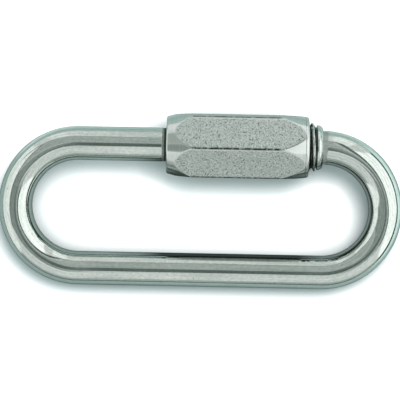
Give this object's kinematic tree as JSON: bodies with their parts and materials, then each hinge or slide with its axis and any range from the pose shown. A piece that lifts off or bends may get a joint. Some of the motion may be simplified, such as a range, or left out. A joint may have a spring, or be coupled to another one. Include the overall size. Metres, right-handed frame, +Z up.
{
  "type": "chain quick link",
  "caption": "Long oval quick link of bent round bar with a hexagon sleeve nut that screws across its mouth to join chain or rigging.",
  "frame": {"origin": "middle of the footprint, on the table that the link lies on", "axes": "+X along the nut's axis towards the short-threaded head, +Y towards the nut, +Z up"},
  "size_m": [0.096, 0.0414, 0.0166],
  "materials": {
    "bar_steel": "bright polished steel bar, faintly green-grey",
    "nut_steel": "dull pitted flats, bright turned cones at both ends"
  },
  "bodies": {
    "link": {"link_body": "bar_steel"},
    "nut": {"sleeve_nut": "nut_steel"}
  },
  "joints": [
    {"name": "nut_travel", "type": "slide", "parent": "link", "child": "nut", "axis": [1, 0, 0], "range_m": [-0.0225, 0.0015]}
  ]
}
